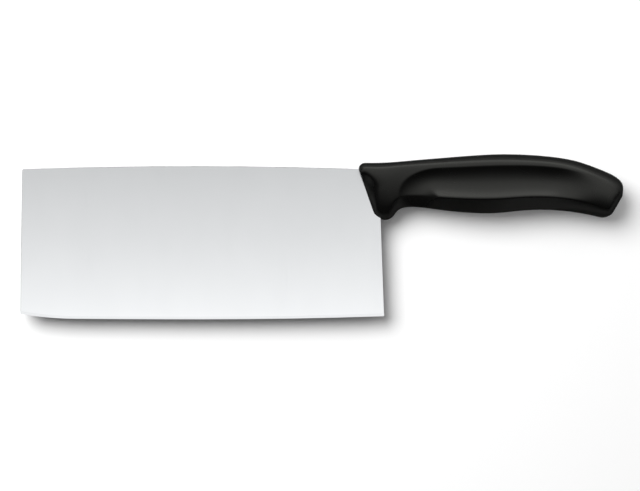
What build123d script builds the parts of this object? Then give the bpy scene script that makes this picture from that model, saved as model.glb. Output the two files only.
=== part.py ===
from build123d import *

import os
from math import atan, cos, degrees, hypot, pi, sqrt

# Chinese-style cleaver: a broad, thin stainless blade, and a handle moulded in one shot round its tang.
# The knife lies on its side. X runs from the blade's nose to the butt of the handle, Y from the cutting
# edge to the spine, and Z through the thickness. The shapes below start at the nose, level with the
# lowest point of the edge, on the middle plane of the blade. Sizes are in millimetres.

# Blade outline
edge_length = 180.0          # from the nose to the heel
blade_depth = 75.7           # from the lowest point of the edge to the crest of the spine
edge_low_place = 89.0        # where the edge is lowest, from the nose
heel_curve_radius = 2700.0   # the edge's gentle rise to the heel
belly_radius = 7700.0        # its flattest stretch, towards the nose
nose_curve_radius = 171.0    # its quicker rise at the nose
nose_curve_length = 27.0
nose_rake = 1.0              # how far the nose leans back, from edge to spine
heel_rake = 2.2              # how far the heel leans forward, from edge to tang
spine_crest_place = 84.0     # where the arched spine is highest, from the nose
spine_drop = 1.45            # how far the spine falls from its crest to the nose, and as far behind
corner_radius = 0.7

# Blade thickness
sheet_thickness = 2.4        # the rolled sheet, left as it is on the tang
spine_thickness = 2.2        # after grinding
flat_width = 17.0            # the parallel part of the ground faces, down from the crest of the spine
bevel_thickness = 0.5        # what the hollow grind leaves above the cutting bevel
bevel_width = 1.1
apex_thickness = 0.06
rim_radius = 0.18            # rounding of the spine, nose and heel
shoulder_gap = 0.1           # between the ground faces' end and the handle

# Tang
tang_length = 94.0           # behind the arched spine
tang_drop = 3.2              # how far its upper side falls over that length
tang_root_depth = 14.5
tang_tip_depth = 8.5
tang_corner_radius = 3.0
heel_fillet = 5.0
lock_hole_count = 3
lock_hole_length = 9.0
lock_hole_width = 4.0
lock_hole_pitch = 24.0
lock_hole_start = 22.0       # the first hole's middle, behind the arched spine

# Handle
handle_start = 167.3         # its foremost point, from the nose
handle_rise = 5.85           # crest of its back above the crest of the spine
handle_length = 130.5
handle_depth = 32.35         # from the crest of its back to the tip of its finger guard
handle_thickness = 22.0
front_length = 11.0          # over which its front is bevelled, where it meets the blade
butt_length = 6.0            # over which its butt is bevelled
bevel_blend = 1.0            # softness of the bevels' borders, as a rise of the surface
scoop_depth = 2.35           # the hollow in each side of the grip
scoop_blend = 0.15           # softness of its border
ridge_blend = 0.8            # softness of the ridge under it

# Handle outline: shares of its length behind its foremost point, and of its depth above its guard
back_shares = [
    (0.003, 0.735), (0.0, 0.79), (0.008, 0.848), (0.035, 0.869), (0.2, 0.905), (0.37, 0.962), (0.54, 1.0),
    (0.7, 0.972), (0.82, 0.897), (0.92, 0.757), (0.972, 0.655), (0.996, 0.555), (0.996, 0.39),
]
belly_shares = [
    (0.058, 0.083), (0.077, 0.022), (0.105, 0.0), (0.127, 0.04), (0.145, 0.13), (0.162, 0.175),
    (0.195, 0.195), (0.3, 0.156), (0.42, 0.107), (0.52, 0.103), (0.61, 0.137), (0.71, 0.152),
    (0.81, 0.119), (0.9, 0.051), (0.932, 0.037), (0.953, 0.072),
]

# Handle sides: places along the handle, and its half thickness there as a share of the largest
swell_shares = [(0.0, 0.8), (0.08, 0.8), (0.22, 0.74), (0.6, 1.0), (0.82, 0.95), (1.0, 0.9)]
guard_lean_share = 0.45      # how far the sections lean forward at the guard

# Sections, at places along the handle: where they are highest, from the back down, how far they are plain
# domes instead of ridged, and the powers of their curves from the crown to the back and to the belly
crown_shares = [(0.0, 0.2), (0.3, 0.25), (0.65, 0.25), (0.95, 0.44), (1.0, 0.45)]
dome_shares = [(0.0, 1.0), (0.05, 1.0), (0.25, 0.0), (0.7, 0.0), (0.95, 1.0), (1.0, 1.0)]
back_powers = [(0.0, 3.4), (0.3, 3.2), (0.7, 3.0), (0.95, 2.4), (1.0, 2.4)]
belly_powers = [(0.0, 1.6), (0.25, 1.6), (0.7, 2.0), (1.0, 2.0)]

# Ridge: its place from the back down, how far the side falls to it and beyond it, and the belly's roundness
ridge_share = 0.75
ridge_drop_share = 0.1
underside_drop_share = 0.55
underside_power = 6

# Bevels: places from the back down, the half thickness they leave at the front and the butt, and their rise
front_edge_shares = [(-0.1, 0.9), (0.45, 0.25), (1.0, 0.1)]
butt_edge_shares = [(0.0, 0.68), (0.5, 0.6), (1.0, 0.45)]
bevel_rise_share = 0.6

# Scoop in each side: its start, where it is full, where it begins to fade, its end and its upper border
scoop_start_share = 0.15
scoop_full_share = 0.3
scoop_fade_share = 0.7
scoop_end_share = 0.94
scoop_top_share = 0.2

# Surface of a side: how near it passes the points that carry it, and how many steps lie between these
side_tolerance = 0.04
front_steps = 20
grip_steps = 66
butt_steps = 9
steps_across = 32

overrun = 10.0               # how far cutting shapes pass what they cut

# Places that several shapes share
guard_tip_height = blade_depth + handle_rise - handle_depth
spine_end = (2 * spine_crest_place, blade_depth - spine_drop)
heel_root = (edge_length - heel_rake, spine_end[1] - tang_root_depth)
tang_top = (spine_end[0] + tang_length, spine_end[1] - tang_drop)
tang_bottom = (tang_top[0], tang_top[1] - tang_tip_depth)


def handle_point(shares):
    """Place of a point of the handle's outline."""
    along, up = shares
    return Vector(handle_start + along * handle_length, guard_tip_height + up * handle_depth)


def below_edge():
    """Everything below the line of the cutting edge, which runs on past the nose and the heel."""
    edge_low = (edge_low_place, 0)
    heel_turn = (edge_length - edge_low_place + overrun) / heel_curve_radius
    belly_turn = (edge_low_place - nose_curve_length) / belly_radius
    nose_turn = (nose_curve_length + overrun) / nose_curve_radius
    heel_arc = JernArc(edge_low, (1, 0), heel_curve_radius, degrees(heel_turn))
    belly_arc = JernArc(edge_low, (-1, 0), belly_radius, -degrees(belly_turn))
    nose_arc = JernArc(belly_arc @ 1, belly_arc % 1, nose_curve_radius, -degrees(nose_turn))
    rear, front = heel_arc @ 1, nose_arc @ 1
    rest = Polyline(rear, (rear.X, -overrun), (front.X, -overrun), front)
    return make_face(Curve() + [heel_arc, belly_arc, nose_arc, rest])


def blade_outline():
    """Outline of the blade and its tang, with the lock holes."""
    spine_nose = (nose_rake, blade_depth - spine_drop)
    nose, heel = (0, 0), (edge_length, 0)
    spine = ThreePointArc(spine_nose, (spine_crest_place, blade_depth), spine_end)
    rear = Polyline(spine_end, tang_top, tang_bottom, heel_root, heel, (edge_length, -overrun))
    front = Polyline((edge_length, -overrun), (0, -overrun), nose, spine_nose)
    outline = make_face(Curve() + [spine, rear, front]) - below_edge()

    roundings = [
        (heel, corner_radius), (spine_nose, corner_radius), (heel_root, heel_fillet),
        (tang_top, tang_corner_radius), (tang_bottom, tang_corner_radius),
    ]
    for corner, radius in roundings:
        outline = fillet(outline.vertices().sort_by_distance(corner)[0], radius)

    root_middle = (spine_end[1] + heel_root[1]) / 2
    tip_middle = (tang_top[1] + tang_bottom[1]) / 2
    hole = SlotOverall(lock_hole_length, lock_hole_width)
    for i in range(lock_hole_count):
        behind = lock_hole_start + i * lock_hole_pitch
        height = root_middle + (tip_middle - root_middle) * behind / tang_length
        outline -= Pos(spine_end[0] + behind, height) * hole
    return outline


def ground_bar():
    """What grinding leaves, as a bar along the blade: parallel faces above, hollow down to the edge."""
    half = spine_thickness / 2
    flat_end = blade_depth - flat_width
    parallel = Line((blade_depth + overrun, half), (flat_end, half))
    hollow = TangentArc((flat_end, half), (0, bevel_thickness / 2), tangent=(-1, 0))
    below = Line((0, bevel_thickness / 2), (-overrun, bevel_thickness / 2))
    upper = Curve() + [parallel, hollow, below]
    lower = mirror(upper, Plane.XZ)
    section = make_face(Curve() + [upper, lower, Line(upper @ 0, lower @ 0), Line(upper @ 1, lower @ 1)])
    return Pos(-overrun, 0, 0) * extrude(Plane.YZ * section, edge_length + 2 * overrun)


def bevel_waste():
    """What sharpening takes off one side of the edge."""
    half_angle = degrees(atan((bevel_thickness - apex_thickness) / 2 / bevel_width))
    start = Pos(0, 0, apex_thickness / 2) * below_edge()
    return extrude(start, sheet_thickness / 2, taper=half_angle - 90)


def tang_zone():
    """The space behind the handle's front face and above its guard, where the sheet isn't ground."""
    top = handle_point(back_shares[0])
    bottom = handle_point(belly_shares[0])
    front = (top - bottom).normalized()
    below, above = bottom + front * corner_radius, top + front * handle_rise
    far = handle_start + handle_length
    zone = make_face(Polyline(below, above, (far, above.Y), (far, below.Y), close=True))
    return Pos(-shoulder_gap, 0, 0) * extrude(zone, sheet_thickness, both=True)


def make_blade():
    """The blade with its tang: one stamping, ground and sharpened in front of the handle."""
    sheet = extrude(blade_outline(), sheet_thickness / 2, both=True)
    ground = sheet & ground_bar()

    def is_rim(edge):
        middle = edge @ 0.5
        at_spine = spine_end[1] <= middle.Y and middle.X <= spine_end[0]
        at_heel = heel_root[0] < middle.X and middle.Y < heel_root[1] - heel_fillet
        return abs((edge % 0.5).Z) < 0.5 and edge.length > 2 * corner_radius and (at_spine or at_heel)

    ground = fillet(ground.edges().filter_by(is_rim), rim_radius)
    waste = bevel_waste()
    return ground - waste - mirror(waste, Plane.XY) + (sheet & tang_zone())


def eased(pairs, place):
    """Value at a place, eased from one pair of place and value to the next."""
    for (start, low), (end, high) in zip(pairs, pairs[1:]):
        if place <= end:
            step = (place - start) / (end - start)
            return low + (high - low) * step * step * (3 - 2 * step)
    return pairs[-1][1]


def lesser(first, second, blend):
    """The lesser of two values, with a rounded corner between them."""
    return (first + second - hypot(first - second, blend)) / 2


def scoop_at(along, across):
    """Depth of the scoop at a share along the handle and a share from its back down."""
    above = (ridge_share - across) / (ridge_share - scoop_top_share)
    before = max(scoop_full_share - along, 0) / (scoop_full_share - scoop_start_share)
    reach = hypot(max(above, 0), before) + min(above, 0) * (1 - before) ** 4
    depth = 4 * scoop_depth * reach * (1 - reach)
    depth *= eased([(0, 1), (scoop_fade_share, 1), (scoop_end_share, 0)], along)
    return (depth + hypot(depth, scoop_blend) - scoop_blend) / 2


def section_at(along, across):
    """Half thickness of a section without its scoop, as a share of its largest."""
    crown = eased(crown_shares, along)
    back_power, belly_power = eased(back_powers, along), eased(belly_powers, along)
    back = (1 - max(1 - across / crown, 0) ** back_power) ** (1 / back_power)
    dome = (1 - max((across - crown) / (1 - crown), 0) ** belly_power) ** (1 / belly_power)
    side = 1 - ridge_drop_share * (across - crown) / (ridge_share - crown)
    behind = (across - ridge_share) / (1 - ridge_share)
    underside = 1 - ridge_drop_share - underside_drop_share * behind
    belly = sqrt(1 - max(behind, 0) ** underside_power)
    blend = ridge_blend / handle_thickness
    ridged = lesser(lesser(side, underside, blend), belly, blend)
    return back * (ridged + (dome - ridged) * eased(dome_shares, along))


def half_thickness(along, across):
    """Half the handle's thickness at a share along it and a share from its back down."""
    widest = handle_thickness / 2 * eased(swell_shares, along)
    half = (widest - scoop_at(along, across)) * section_at(along, across)
    for distance, edge_shares in ((along, front_edge_shares), (1 - along, butt_edge_shares)):
        edge = handle_thickness / 2 * eased(edge_shares, across)
        half = lesser(half, edge + bevel_rise_share * distance * handle_length, bevel_blend)
    return max(half, 0)


def row_places():
    """Shares along the handle of the rows of points: even between its ends, closer where these round off."""
    front = front_length / handle_length
    butt = butt_length / handle_length
    places = [front * i / front_steps for i in range(front_steps)]
    places += [front + (1 - front - butt) * i / grip_steps for i in range(grip_steps)]
    places += [1 - butt * (1 - cos(pi / 2 * (butt_steps - i) / butt_steps)) for i in range(butt_steps + 1)]
    return places


def handle_side():
    """Surface of one side of the handle, from the back to the belly."""
    back = Spline(*[handle_point(shares) for shares in back_shares])
    belly = Spline(*[handle_point(shares) for shares in belly_shares])
    rows = []
    for along in row_places():
        top = back @ along
        bottom = belly @ (along - guard_lean_share * along * (1 - along) ** 6)
        row = []
        for j in range(steps_across + 1):
            across = (1 - cos(pi * j / steps_across)) / 2
            point = top + (bottom - top) * across
            row.append(Vector(point.X, point.Y, half_thickness(along, across)))
        rows.append(row)
    return Face.make_surface_from_array_of_points(rows, tol=side_tolerance, min_deg=3, max_deg=3)


def make_handle(blade):
    """The handle: two like sides that meet on the parting line, closed at the front and the butt."""
    side = handle_side()
    ends = [edge for edge in side.edges() if (edge @ 0.5).Z > apex_thickness]
    closures = [Face(Wire([edge, mirror(edge, Plane.XY).edge()])) for edge in ends]
    grip = Solid(Shell([side, side.mirror(Plane.XY), *closures]))
    return grip - blade


def main():
    blade = make_blade()
    pieces = {"blade": blade, "handle": make_handle(blade)}
    box = Compound(children=[Part(piece.wrapped) for piece in pieces.values()]).bounding_box()
    stand = Pos(-box.center().X, -box.center().Y, -box.min.Z)
    os.makedirs("parts", exist_ok=True)
    for name, piece in pieces.items():
        export_step(stand * piece, f"parts/{name}.step")


if __name__ == "__main__":
    main()
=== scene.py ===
from math import cos, pi, radians, sin, tan

import bpy
import numpy as np
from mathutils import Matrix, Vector


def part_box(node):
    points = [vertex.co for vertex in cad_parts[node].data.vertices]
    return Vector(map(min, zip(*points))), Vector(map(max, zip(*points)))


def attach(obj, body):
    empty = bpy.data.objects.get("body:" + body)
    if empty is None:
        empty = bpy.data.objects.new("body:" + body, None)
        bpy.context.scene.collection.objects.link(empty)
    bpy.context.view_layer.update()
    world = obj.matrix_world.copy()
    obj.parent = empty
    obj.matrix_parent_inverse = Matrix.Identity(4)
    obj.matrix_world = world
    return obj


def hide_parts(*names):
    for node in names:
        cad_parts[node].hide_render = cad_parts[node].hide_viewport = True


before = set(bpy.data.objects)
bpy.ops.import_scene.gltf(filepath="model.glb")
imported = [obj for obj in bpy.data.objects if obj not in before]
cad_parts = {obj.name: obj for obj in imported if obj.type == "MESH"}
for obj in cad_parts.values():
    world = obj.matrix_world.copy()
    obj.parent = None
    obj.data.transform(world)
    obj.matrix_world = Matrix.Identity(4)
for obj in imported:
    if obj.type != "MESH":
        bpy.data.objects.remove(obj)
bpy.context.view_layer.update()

# Chinese-style cleaver, lying on its side: X runs from the blade's nose to the butt of the handle, Y from
# the cutting edge to the spine, and Z through the thickness. The blade is the CAD part, and the handle is
# modelled here from the same sizes as the CAD one, with a finer surface. Everything is in metres.
MM = 0.001
blade_low, blade_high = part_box("blade")
nose = Vector((blade_low.x, blade_low.y, (blade_low.z + blade_high.z) / 2))

# Handle sizes, from the nose and from the lowest point of the edge. Its rise and thickness are a few
# hundredths of a millimetre less than the CAD's, so that the finer mesh stays inside the CAD box.
blade_depth = 75.7 * MM
handle_start = 167.3 * MM
handle_rise = 5.83 * MM
handle_length = 130.5 * MM
handle_depth = 32.35 * MM
handle_thickness = 21.96 * MM
front_length = 11.0 * MM
butt_length = 6.0 * MM
bevel_blend = 1.0 * MM
scoop_depth = 2.35 * MM
scoop_blend = 0.15 * MM
ridge_blend = 0.8 * MM
seam_width = 0.16 * MM
seam_depth = 0.07 * MM
guard_tip_height = blade_depth + handle_rise - handle_depth

# Handle outline: shares of its length behind its foremost point, and of its depth above its guard
back_shares = [
    (0.003, 0.735), (0.0, 0.79), (0.008, 0.848), (0.035, 0.869), (0.2, 0.905), (0.37, 0.962),
    (0.54, 1.0), (0.7, 0.972), (0.82, 0.897), (0.92, 0.757), (0.972, 0.655), (0.996, 0.555),
    (0.996, 0.39),
]
belly_shares = [
    (0.058, 0.083), (0.077, 0.022), (0.105, 0.0), (0.127, 0.04), (0.145, 0.13), (0.162, 0.175),
    (0.195, 0.195), (0.3, 0.156), (0.42, 0.107), (0.52, 0.103), (0.61, 0.137), (0.71, 0.152),
    (0.81, 0.119), (0.9, 0.051), (0.932, 0.037), (0.953, 0.072),
]

# Handle sides: places along the handle, and its half thickness there as a share of the largest
swell_shares = [(0.0, 0.8), (0.08, 0.8), (0.22, 0.74), (0.6, 1.0), (0.82, 0.95), (1.0, 0.9)]

# Lean of the mesh's rows at the guard, and how soon it fades behind it
guard_lean_share = 0.45
guard_lean_power = 6

# Sections, at places along the handle: where they are highest, from the back down, how far they are plain
# domes instead of ridged, and the powers of their curves from the crown to the back and to the belly
crown_shares = [(0.0, 0.2), (0.3, 0.25), (0.65, 0.25), (0.95, 0.44), (1.0, 0.45)]
dome_shares = [(0.0, 1.0), (0.05, 1.0), (0.25, 0.0), (0.7, 0.0), (0.95, 1.0), (1.0, 1.0)]
back_powers = [(0.0, 3.4), (0.3, 3.2), (0.7, 3.0), (0.95, 2.4), (1.0, 2.4)]
belly_powers = [(0.0, 1.6), (0.25, 1.6), (0.7, 2.0), (1.0, 2.0)]

# Ridge: its place from the back down, how far the side falls to it and beyond it, and the belly's roundness
ridge_share = 0.75
ridge_drop_share = 0.1
underside_drop_share = 0.55
underside_power = 6

# Bevels: places from the back down, the half thickness they leave at the front and the butt, and their rise
front_edge_shares = [(-0.1, 0.9), (0.45, 0.25), (1.0, 0.1)]
butt_edge_shares = [(0.0, 0.68), (0.5, 0.6), (1.0, 0.45)]
bevel_rise_share = 0.6

# Scoop in each side: its start, where it is full, where it begins to fade, its end, its upper border, and
# how soon it reaches its full shape under the ridge
scoop_start_share = 0.15
scoop_full_share = 0.3
scoop_fade_share = 0.7
scoop_end_share = 0.94
scoop_top_share = 0.2
scoop_under_power = 4

# Counts of the handle's mesh, and of the points that measure its outline
front_rows = 40
grip_rows = 170
butt_rows = 24
side_columns = 84
outline_samples = 4000


# Handle mesh
def smooth_line(points, places):
    """Points at shares of the length of a smooth curve through the given points."""
    points = np.array(points)
    knots = np.concatenate([[0], np.cumsum(np.linalg.norm(np.diff(points, axis=0), axis=1))])
    gaps = np.diff(knots)
    count = len(points)
    system = np.eye(count)
    slopes = np.zeros_like(points)
    for i in range(1, count - 1):
        system[i, i - 1:i + 2] = gaps[i - 1], 2 * (gaps[i - 1] + gaps[i]), gaps[i]
        rise = (points[i + 1] - points[i]) / gaps[i] - (points[i] - points[i - 1]) / gaps[i - 1]
        slopes[i] = 6 * rise
    bends = np.linalg.solve(system, slopes)

    def at(values):
        i = np.clip(np.searchsorted(knots, values) - 1, 0, count - 2)
        before = ((values - knots[i]) / gaps[i])[:, None]
        after = 1 - before
        gap = gaps[i][:, None]
        curve = (after**3 - after) * bends[i] + (before**3 - before) * bends[i + 1]
        return after * points[i] + before * points[i + 1] + gap * gap / 6 * curve

    fine = np.linspace(0, knots[-1], outline_samples)
    lengths = np.concatenate([[0], np.cumsum(np.linalg.norm(np.diff(at(fine), axis=0), axis=1))])
    return at(np.interp(np.array(places) * lengths[-1], lengths, fine))


def handle_places(shares):
    """Places in metres of points of the handle's outline."""
    return [
        (nose.x + handle_start + along * handle_length, nose.y + guard_tip_height + up * handle_depth)
        for along, up in shares
    ]


def eased(pairs, places):
    """Values at places, eased from one pair of place and value to the next."""
    result = np.full(places.shape, float(pairs[-1][1]))
    for (start, low), (end, high) in reversed(list(zip(pairs, pairs[1:]))):
        step = np.clip((places - start) / (end - start), 0, 1)
        result = np.where(places <= end, low + (high - low) * step * step * (3 - 2 * step), result)
    return result


def lesser(first, second, blend):
    """The lesser of two values, with a rounded corner between them."""
    return (first + second - np.hypot(first - second, blend)) / 2


def scoop_at(along, across):
    """Depth of the scoop at shares along the handle and from its back down."""
    above = (ridge_share - across) / (ridge_share - scoop_top_share)
    before = np.maximum(scoop_full_share - along, 0) / (scoop_full_share - scoop_start_share)
    reach = np.hypot(np.maximum(above, 0), before)
    reach = reach + np.minimum(above, 0) * (1 - before) ** scoop_under_power
    # the depth is an arch over the reach, which is full half way
    depth = 4 * scoop_depth * reach * (1 - reach)
    depth = depth * eased([(0, 1), (scoop_fade_share, 1), (scoop_end_share, 0)], along)
    return (depth + np.hypot(depth, scoop_blend) - scoop_blend) / 2


def section_at(along, across):
    """Half thickness of a section without its scoop, as a share of its largest."""
    crown = eased(crown_shares, along)
    back_power, belly_power = eased(back_powers, along), eased(belly_powers, along)
    back = (1 - np.maximum(1 - across / crown, 0) ** back_power) ** (1 / back_power)
    dome = (1 - np.maximum((across - crown) / (1 - crown), 0) ** belly_power) ** (1 / belly_power)
    side = 1 - ridge_drop_share * (across - crown) / (ridge_share - crown)
    behind = (across - ridge_share) / (1 - ridge_share)
    underside = 1 - ridge_drop_share - underside_drop_share * behind
    belly = np.sqrt(1 - np.maximum(behind, 0) ** underside_power)
    blend = ridge_blend / handle_thickness
    ridged = lesser(lesser(side, underside, blend), belly, blend)
    return back * (ridged + (dome - ridged) * eased(dome_shares, along))


def half_thickness(along, across):
    """Half the handle's thickness at shares along it and from its back down."""
    widest = handle_thickness / 2 * eased(swell_shares, along)
    half = (widest - scoop_at(along, across)) * section_at(along, across)
    for distance, edge_shares in ((along, front_edge_shares), (1 - along, butt_edge_shares)):
        edge = handle_thickness / 2 * eased(edge_shares, across)
        half = lesser(half, edge + bevel_rise_share * distance * handle_length, bevel_blend)
    return np.maximum(half, 0)


def row_places():
    """Shares along the handle of the mesh's rows: even but for the butt, where they draw closer."""
    front = front_length / handle_length
    butt = butt_length / handle_length
    head = front * np.arange(front_rows) / front_rows
    grip = front + (1 - front - butt) * np.arange(grip_rows) / grip_rows
    tail = 1 - butt * (1 - np.cos(pi / 2 * np.arange(butt_rows, -1, -1) / butt_rows))
    return np.concatenate([head, grip, tail])


def seam_line(line, inward):
    """The bottom of the mould's seam, which runs level along the back or the belly."""
    level = np.full((len(line), 1), nose.z)
    return np.hstack([line + inward, level])[:, None, :]


def make_handle():
    """The moulded handle: rings of points from its front to its butt, closed there, with a fine seam."""
    along = row_places()
    across = (1 - np.cos(pi * np.arange(side_columns + 1) / side_columns)) / 2
    leaning = along - guard_lean_share * along * (1 - along) ** guard_lean_power
    top = smooth_line(handle_places(back_shares), along)
    bottom = smooth_line(handle_places(belly_shares), leaning)
    flat = top[:, None, :] + (bottom - top)[:, None, :] * across[None, :, None]
    half = half_thickness(along[:, None], across[None, :])
    half[:, [0, -1]] = seam_width / 2
    upper = np.dstack([flat, nose.z + half])
    lower = np.dstack([flat, nose.z - half])[:, ::-1]
    inward = (bottom - top) / np.linalg.norm(bottom - top, axis=1)[:, None] * seam_depth
    rings = np.concatenate([seam_line(top, inward), upper, seam_line(bottom, -inward), lower], axis=1)
    rows, ring = rings.shape[:2]
    faces = []
    for i in range(rows - 1):
        for j in range(ring):
            after = (j + 1) % ring
            faces.append((i * ring + j, i * ring + after, (i + 1) * ring + after, (i + 1) * ring + j))
    # each end is closed by faces from the upper side's points to those of the lower side under them
    for first, turn in ((0, 1), ((rows - 1) * ring, -1)):
        for j in range(side_columns + 2):
            corners = [first + k % ring for k in (j, -j % ring, ring - j - 1, j + 1)]
            corners = list(dict.fromkeys(corners))
            faces.append(tuple(corners[::turn]))
    handle = make_piece("moulded_handle", rings.reshape(-1, 3).tolist(), faces)
    handle.data.polygons.foreach_set("use_smooth", [True] * len(faces))
    handle.data.update()
    return handle


# Scene helpers
def place_in_scene(name, data):
    """An object of its own name in the scene."""
    thing = bpy.data.objects.new(name, data)
    bpy.context.scene.collection.objects.link(thing)
    return thing


def make_piece(name, points, faces):
    """A piece made of a mesh."""
    mesh = bpy.data.meshes.new(name)
    mesh.from_pydata(points, [], faces)
    return place_in_scene(name, mesh)


# Shader helpers
mix_low, mix_high, mix_result = 6, 7, 2    # the Mix node's sockets for colours


def new_material(name):
    """An empty node material and its Principled shader."""
    material = bpy.data.materials.new(name)
    material.use_nodes = True
    return material, material.node_tree.nodes["Principled BSDF"]


def bare_tree(owner):
    """The emptied node tree of a material or a world."""
    owner.use_nodes = True
    owner.node_tree.nodes.clear()
    return owner.node_tree


def add_node(tree, kind, values=None, **settings):
    """Adds a node, with its settings, and with values or links for its inputs."""
    node = tree.nodes.new(kind)
    for name, value in settings.items():
        setattr(node, name, value)
    for name, value in (values or {}).items():
        if isinstance(value, bpy.types.NodeSocket):
            tree.links.new(value, node.inputs[name])
        else:
            node.inputs[name].default_value = value
    return node


def math_node(tree, operation, *values, **settings):
    """What a sum, product or other operation gives for its values."""
    inputs = dict(enumerate(values))
    return add_node(tree, "ShaderNodeMath", inputs, operation=operation, **settings).outputs[0]


def scaled_node(tree, vector, scales):
    """A vector, with each part times its own scale."""
    return add_node(tree, "ShaderNodeVectorMath", {0: vector, 1: scales}, operation="MULTIPLY").outputs[0]


def range_node(tree, value, start, end, low=0.0, high=1.0):
    """A value from low to high as another goes from start to end, and no further."""
    limits = {"From Min": start, "From Max": end, "To Min": low, "To Max": high}
    return add_node(tree, "ShaderNodeMapRange", {"Value": value, **limits}).outputs["Result"]


def colour_node(tree, level, low, high):
    """A colour from low to high as a level goes from 0 to 1."""
    colours = {"Factor": level, mix_low: low, mix_high: high}
    return add_node(tree, "ShaderNodeMix", colours, data_type="RGBA").outputs[mix_result]


def ramp_node(tree, value, stops):
    """A colour ramp through grey levels at places."""
    node = add_node(tree, "ShaderNodeValToRGB", {"Fac": value})
    elements = node.color_ramp.elements
    while len(elements) < len(stops):
        elements.new(0.5)
    for element, (place, level) in zip(elements, stops):
        element.position = place
        element.color = (level, level, level, 1)
    return node.outputs["Color"]


def surface_node(tree, kind):
    """What the surface has at a point, such as its Position, Normal or Pointiness."""
    return add_node(tree, "ShaderNodeNewGeometry").outputs[kind]


def part_node(tree, vector, axis):
    """The part of a vector along an axis."""
    return add_node(tree, "ShaderNodeSeparateXYZ", {0: vector}).outputs[axis]


def new_group(name, inputs, outputs):
    """An empty shader node group, with its inputs by name and usual value, and its outputs by name."""
    tree = bpy.data.node_groups.new(name, "ShaderNodeTree")
    for label, usual in inputs.items():
        kind = "NodeSocketVector" if isinstance(usual, tuple) else "NodeSocketFloat"
        tree.interface.new_socket(label, in_out="INPUT", socket_type=kind).default_value = usual
    for label in outputs:
        tree.interface.new_socket(label, in_out="OUTPUT", socket_type="NodeSocketFloat")
    return tree, add_node(tree, "NodeGroupInput").outputs, add_node(tree, "NodeGroupOutput").inputs


def add_group(tree, group, values):
    """Places a node group in a material, with its own values."""
    return add_node(tree, "ShaderNodeGroup", values, node_tree=group).outputs


# Shared effects: their usual values, which each material replaces by its own
usual_grain = {
    "Grains Per Metre": (1000.0, 1000.0, 1000.0),
    "Patches Per Metre": (20.0, 20.0, 20.0),
    "Roughen": 0.5,
}
usual_scuffs = {"Turn": 0.5, "Scuffs Per Metre": (60.0, 2500.0, 60.0), "Sparseness": 0.7}
grain_detail, patch_detail, scuff_detail = 3.0, 2.0, 1.0
scuff_contrast = 25.0


def make_grain_group():
    """Grain of a worked surface: fine noise, drawn out where it is brushed, and soft patches over it."""
    tree, inputs, outputs = new_group("surface_grain", usual_grain, ["Grain", "Patches"])
    place = add_node(tree, "ShaderNodeTexCoord").outputs["Object"]
    for label, density, detail in (
        ("Grain", "Grains Per Metre", grain_detail), ("Patches", "Patches Per Metre", patch_detail)
    ):
        scaled = scaled_node(tree, place, inputs[density])
        noise = add_node(tree, "ShaderNodeTexNoise", {
            "Vector": scaled, "Scale": 1.0, "Detail": detail, "Roughness": inputs["Roughen"],
        })
        tree.links.new(noise.outputs["Fac"], outputs[label])
    return tree


def make_scuff_group():
    """Sparse long hairline scuffs: a mask that is 1 on them."""
    tree, inputs, outputs = new_group("hairline_scuffs", usual_scuffs, ["Scuffs"])
    place = add_node(tree, "ShaderNodeTexCoord").outputs["Object"]
    turned = add_node(tree, "ShaderNodeVectorRotate", {"Vector": place, "Angle": inputs["Turn"]},
                      rotation_type="Z_AXIS")
    scaled = scaled_node(tree, turned.outputs[0], inputs["Scuffs Per Metre"])
    noise = add_node(tree, "ShaderNodeTexNoise", {"Vector": scaled, "Scale": 1.0, "Detail": scuff_detail})
    above = math_node(tree, "SUBTRACT", noise.outputs["Fac"], inputs["Sparseness"])
    mask = math_node(tree, "MULTIPLY", above, scuff_contrast, use_clamp=True)
    tree.links.new(mask, outputs["Scuffs"])
    return tree


def dress(tree, shader, colour, roughness, height, relief, relief_strength):
    """Gives a shader its colour, its roughness and a relief of the given height."""
    values = {"Strength": relief_strength, "Distance": relief, "Height": height}
    normal = add_node(tree, "ShaderNodeBump", values).outputs["Normal"]
    for label, output in (("Base Color", colour), ("Roughness", roughness), ("Normal", normal)):
        tree.links.new(output, shader.inputs[label])


# Blade steel: its fine lines, patches and scuffs, its colours, among them the painted shade of its rims, and
# its roughness between the grains
steel_lines = {
    "Grains Per Metre": (2600.0, 30.0, 2600.0),
    "Patches Per Metre": (70.0, 28.0, 28.0),
    "Roughen": 0.6,
}
steel_scuffs = {"Turn": 1.2, "Scuffs Per Metre": (40.0, 4500.0, 40.0), "Sparseness": 0.69}
steel_dark_patch = (0.558, 0.568, 0.577, 1)
steel_light_patch = (0.608, 0.618, 0.627, 1)
steel_grain = (0.616, 0.626, 0.635, 1)
# the rims' dark colour is painted shade, for the dark line along the blade's outline
steel_rim_painted_shade = (0.34, 0.345, 0.35, 1)
steel_smooth, steel_rough = 0.11, 0.19
steel_scuff_roughness = 0.1
steel_rim_roughness = 0.15
steel_scuff_height = -0.5
steel_relief = 0.004 * MM
steel_relief_strength = 0.6
# The vertical part of the normal where the rims begin, and where they are in full: there the steel is
# rougher, and darker as painted shade
rim_begins, rim_full = 0.96, 0.85


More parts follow.
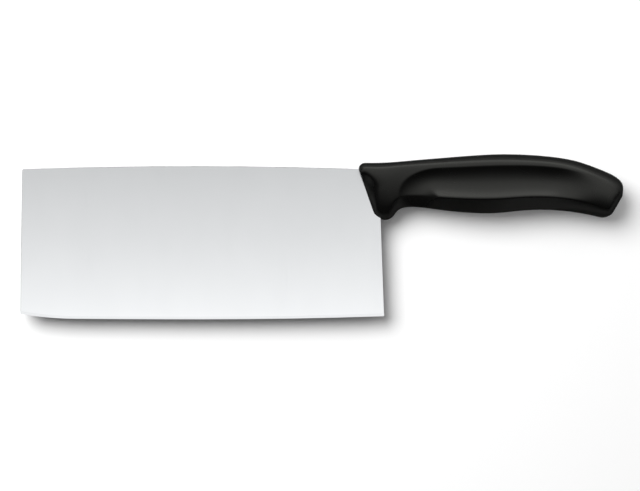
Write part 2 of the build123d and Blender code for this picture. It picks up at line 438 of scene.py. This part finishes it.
def ground_steel(grain, scuffs):
    """Stainless sheet, ground satin between spine and edge, with narrow rims that are ground coarser and
    painted darker, as shade where they turn away from above.
    """
    material, shader = new_material("ground_steel")
    tree = material.node_tree
    shader.inputs["Metallic"].default_value = 1
    lines = add_group(tree, grain, steel_lines)
    marks = add_group(tree, scuffs, steel_scuffs)["Scuffs"]
    level = math_node(tree, "ABSOLUTE", part_node(tree, surface_node(tree, "Normal"), "Z"))
    coarse_rim_and_shade = range_node(tree, level, rim_begins, rim_full)
    colour = colour_node(tree, lines["Patches"], steel_dark_patch, steel_light_patch)
    colour = colour_node(tree, lines["Grain"], colour, steel_grain)
    # painted shade: the rims that turn away from above get a much darker colour
    colour = colour_node(tree, coarse_rim_and_shade, colour, steel_rim_painted_shade)
    roughness = range_node(tree, lines["Grain"], 0.0, 1.0, steel_smooth, steel_rough)
    roughness = math_node(tree, "MULTIPLY_ADD", marks, steel_scuff_roughness, roughness)
    roughness = math_node(tree, "MULTIPLY_ADD", coarse_rim_and_shade, steel_rim_roughness, roughness)
    height = math_node(tree, "MULTIPLY_ADD", marks, steel_scuff_height, lines["Grain"])
    dress(tree, shader, colour, roughness, height, steel_relief, steel_relief_strength)
    return material


# Handle plastic: its moulded grain, patches and scuffs, its colours, and its roughness between the patches
plastic_pits = {
    "Grains Per Metre": (4800.0, 4800.0, 4800.0),
    "Patches Per Metre": (55.0, 55.0, 55.0),
    "Roughen": 0.55,
}
plastic_scuffs = {"Turn": 0.35, "Scuffs Per Metre": (70.0, 1500.0, 70.0), "Sparseness": 0.71}
plastic_dark_patch = (0.0012, 0.0012, 0.0012, 1)
plastic_light_patch = (0.0026, 0.0026, 0.0025, 1)
plastic_worn = (0.004, 0.004, 0.004, 1)
plastic_highlight_tint = (0.99, 1.0, 0.94, 1)
plastic_smooth, plastic_rough = 0.22, 0.31
plastic_worn_roughness = -0.03
plastic_scuff_roughness = 0.06
plastic_steep_roughness = 0.7
plastic_relief = 0.04 * MM
plastic_relief_strength = 0.5
# The pointiness at which wear begins and is in full, and how far a side turns away where it looks rougher
wear_begins, wear_full = 0.51, 0.56
steep_begins, steep_full = 0.14, 0.45
facing_blend = 0.5


def black_plastic(grain, scuffs):
    """Black moulded plastic with a fine satin texture, a little polished on its worn edges."""
    material, shader = new_material("black_moulded_plastic")
    tree = material.node_tree
    shader.inputs["Specular Tint"].default_value = plastic_highlight_tint
    pits = add_group(tree, grain, plastic_pits)
    marks = add_group(tree, scuffs, plastic_scuffs)["Scuffs"]
    worn = range_node(tree, surface_node(tree, "Pointiness"), wear_begins, wear_full)
    colour = colour_node(tree, pits["Patches"], plastic_dark_patch, plastic_light_patch)
    colour = colour_node(tree, worn, colour, plastic_worn)
    # steep sides look rougher, as a textured surface does where it is seen at a slant
    slant = add_node(tree, "ShaderNodeLayerWeight", {"Blend": facing_blend}).outputs["Facing"]
    steep = range_node(tree, slant, steep_begins, steep_full)
    roughness = range_node(tree, pits["Patches"], 0.0, 1.0, plastic_smooth, plastic_rough)
    for mask, more in (
        (worn, plastic_worn_roughness), (marks, plastic_scuff_roughness), (steep, plastic_steep_roughness)
    ):
        roughness = math_node(tree, "MULTIPLY_ADD", mask, more, roughness)
    dress(tree, shader, colour, roughness, pits["Grain"], plastic_relief, plastic_relief_strength)
    return material


handle = make_handle()
grain, scuffs = make_grain_group(), make_scuff_group()
handle.data.materials.append(black_plastic(grain, scuffs))
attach(handle, "root")
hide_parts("handle")
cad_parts["blade"].material_slots[0].material = ground_steel(grain, scuffs)


# Floor: its half width, its colour, and the glow with which it is seen, from near the knife to far away
floor_reach = 30.0
paper_colour = (0.92, 0.92, 0.92, 1)
glow_near, glow_far = 0.05, 1.0
floor_near, floor_far = 0.35, 1.6

# Room: the brightness of the light overhead, at places from the front backwards and from left to right,
# which are parts of a direction from -1 to 1, and how dim the room is beside it
overhead_depthwise = [
    (-0.8, 0.0), (-0.64, 0.04), (-0.34, 0.32), (0.0, 0.8), (0.3, 0.92), (0.5, 1.05), (0.62, 1.6),
    (0.75, 2.1), (0.84, 1.1), (0.9, 0.3), (0.97, 0.1),
]
overhead_lengthwise = [
    (-0.9, 0.02), (-0.6, 0.15), (-0.4, 0.5), (-0.2, 1.0), (0.3, 1.0), (0.5, 0.75), (0.65, 0.4),
    (0.85, 0.02),
]
brightest = 2.1
room_brightness = 0.02
overhead_on_floor = 0.5
backdrop_top, backdrop_fade = 0.01, 0.02
white = (1, 1, 1, 1)

# Strip light over the blade: its height above it, its sides, and its brightness at places in millimetres
# across it, from the cutting edge's side to the spine's
strip_height = 60 * MM
strip_left, strip_right = -185 * MM, 45 * MM
strip_front, strip_back = -110 * MM, 60 * MM
strip_levels = [(-110, 1.25), (-70, 1.2), (-42, 0.8), (0, 0.42), (40, 0.15), (60, 0.08)]

# Cards on the four sides, and their brightness at the bottom and at the top
card_distance, card_height = 0.8, 1.4
card_low, card_high = 0.65, 0.15

# Key lamp, and the fill that passes the handle. They stand in one place: its lean from straight above and
# its heading from +X in degrees, its distance, and half the angle in degrees that a lamp fills from there.
lamp_lean, lamp_heading = 36, 135
lamp_distance = 1.4
lamp_spread = 22
key_brightness, fill_brightness = 6.4, 1.6

# Camera: the point that it looks down on, the width that it sees there, and its lens and film in millimetres
view_centre = Vector((-0.85 * MM, -4.3 * MM, nose.z))
view_width = 316.5 * MM
lens_length, film_width = 120, 36


def seen_in_mirrors(tree, rays):
    """1 for what metal, plastic or glass shows of its surroundings."""
    return math_node(tree, "MAXIMUM", rays["Is Glossy Ray"], rays["Is Transmission Ray"])


def make_floor():
    """A wide pale floor, which the camera and metal see as white, also where the lamps don't reach."""
    corners = [(x * floor_reach, y * floor_reach, 0) for x, y in ((-1, -1), (1, -1), (1, 1), (-1, 1))]
    floor = make_piece("floor", corners, [(0, 1, 2, 3)])
    material = bpy.data.materials.new("white_paper")
    tree = bare_tree(material)
    paper = add_node(tree, "ShaderNodeBsdfDiffuse", {"Color": paper_colour})
    rays = add_node(tree, "ShaderNodeLightPath").outputs
    seen = math_node(tree, "MAXIMUM", rays["Is Camera Ray"], seen_in_mirrors(tree, rays))
    place = surface_node(tree, "Position")
    away = add_node(tree, "ShaderNodeVectorMath", {0: place}, operation="LENGTH").outputs["Value"]
    lift = range_node(tree, away, floor_near, floor_far, glow_near, glow_far)
    strength = math_node(tree, "MULTIPLY", seen, lift)
    glow = add_node(tree, "ShaderNodeEmission", {"Color": white, "Strength": strength})
    both = add_node(tree, "ShaderNodeAddShader", {0: paper.outputs[0], 1: glow.outputs[0]})
    add_node(tree, "ShaderNodeOutputMaterial", {"Surface": both.outputs[0]})
    floor.data.materials.append(material)


def make_world():
    """A dim room with a soft patch of light overhead, and a white backdrop low behind the floor."""
    world = bpy.data.worlds.new("studio")
    bpy.context.scene.world = world
    tree = bare_tree(world)
    direction = add_node(tree, "ShaderNodeTexCoord").outputs["Generated"]
    levels = []
    for axis, stops in (("Y", overhead_depthwise), ("X", overhead_lengthwise)):
        # a ramp's places run from 0 to 1, and its levels too
        place = math_node(tree, "MULTIPLY_ADD", part_node(tree, direction, axis), 0.5, 0.5)
        levels.append(ramp_node(tree, place, [(0.5 + at / 2, level / brightest) for at, level in stops]))
    overhead = math_node(tree, "MULTIPLY", *levels)
    strength = math_node(tree, "MULTIPLY_ADD", overhead, brightest**2, room_brightness)
    rays = add_node(tree, "ShaderNodeLightPath").outputs
    share = range_node(tree, rays["Is Diffuse Ray"], 0.0, 1.0, 1.0, overhead_on_floor)
    strength = math_node(tree, "MULTIPLY", strength, share)
    light = add_node(tree, "ShaderNodeBackground", {"Color": white, "Strength": strength})
    backdrop = add_node(tree, "ShaderNodeBackground", {"Color": white, "Strength": 1.0})
    # metal and plastic show the white backdrop too, as far up as it stands behind the floor
    low = range_node(tree, part_node(tree, direction, "Z"), backdrop_top + backdrop_fade, backdrop_top)
    mirrored = math_node(tree, "MULTIPLY", seen_in_mirrors(tree, rays), low)
    seen = math_node(tree, "MAXIMUM", rays["Is Camera Ray"], mirrored)
    mix = add_node(tree, "ShaderNodeMixShader", {0: seen, 1: light.outputs[0], 2: backdrop.outputs[0]})
    add_node(tree, "ShaderNodeOutputWorld", {"Surface": mix.outputs[0]})


def make_lamp(name, shape, width, depth, brightness):
    """An area lamp that looks evenly bright."""
    data = bpy.data.lights.new(name, "AREA")
    data.shape = shape
    data.size, data.size_y = width, depth
    area = width * depth * (pi / 4 if shape == "DISK" else 1)
    data.energy = pi * area * brightness
    return place_in_scene(name, data)


def show_in_blade(lamp, axis, make_level):
    """Lets a lamp show in the blade alone, with a brightness that changes along an axis."""
    lamp.data.use_nodes = True
    tree = lamp.data.node_tree
    level = make_level(tree, part_node(tree, surface_node(tree, "Position"), axis))
    tree.links.new(level, tree.nodes["Emission"].inputs["Strength"])
    lamp.visible_camera = False
    lamp.visible_diffuse = False
    lamp.light_linking.receiver_collection = blade_alone


def make_strip():
    """A strip light over the blade, which shows in the steel alone, brighter towards the cutting edge."""
    width, depth = strip_right - strip_left, strip_back - strip_front
    stops = [((y * MM - strip_front) / depth, level / brightest) for y, level in strip_levels]

    def level_across(tree, place):
        level = ramp_node(tree, range_node(tree, place, strip_front, strip_back), stops)
        return math_node(tree, "MULTIPLY", level, brightest)

    strip = make_lamp("strip", "RECTANGLE", width, depth, 1)
    strip.location = ((strip_left + strip_right) / 2, (strip_front + strip_back) / 2, nose.z + strip_height)
    show_in_blade(strip, "Y", level_across)


def make_cards():
    """Cards on the four sides, whose reflection shows in the steel alone, fainter towards their tops."""
    def level_up(tree, height):
        return range_node(tree, height, 0.0, card_height, card_low, card_high)

    for side in range(4):
        turn = side * pi / 2
        card = make_lamp("card", "RECTANGLE", 2 * card_distance, card_height, 1)
        card.location = (card_distance * sin(turn), -card_distance * cos(turn), card_height / 2)
        card.rotation_euler = (pi / 2, 0, turn)
        show_in_blade(card, "Z", level_up)


def make_soft_box(name, brightness):
    """A round soft box at the lamps' place, which lights the knife and the floor without showing in them."""
    width = 2 * lamp_distance * tan(radians(lamp_spread))
    lamp = make_lamp(name, "DISK", width, width, brightness)
    lean, heading = radians(lamp_lean), radians(lamp_heading)
    away = Vector((sin(lean) * cos(heading), sin(lean) * sin(heading), cos(lean)))
    lamp.location = away * lamp_distance
    lamp.rotation_euler = away.to_track_quat("Z", "Y").to_euler()
    lamp.data.cycles.max_bounces = 0
    lamp.visible_glossy = False
    return lamp


def make_camera():
    """A camera straight above the knife, at the distance of a long lens."""
    data = bpy.data.cameras.new("camera")
    data.lens = lens_length
    data.sensor_width = film_width
    camera = place_in_scene("camera", data)
    camera.location = view_centre + Vector((0, 0, view_width * lens_length / film_width))
    bpy.context.scene.camera = camera


make_floor()
make_world()
blade_alone = bpy.data.collections.new("blade_alone")
blade_alone.objects.link(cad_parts["blade"])
make_strip()
make_cards()
make_soft_box("key", key_brightness)
# the fill is stopped by the blade alone, so the handle's shadow is the paler one
fill = make_soft_box("shadow_fill", fill_brightness)
fill.light_linking.blocker_collection = blade_alone
make_camera()
bpy.context.scene.view_settings.view_transform = "Standard"
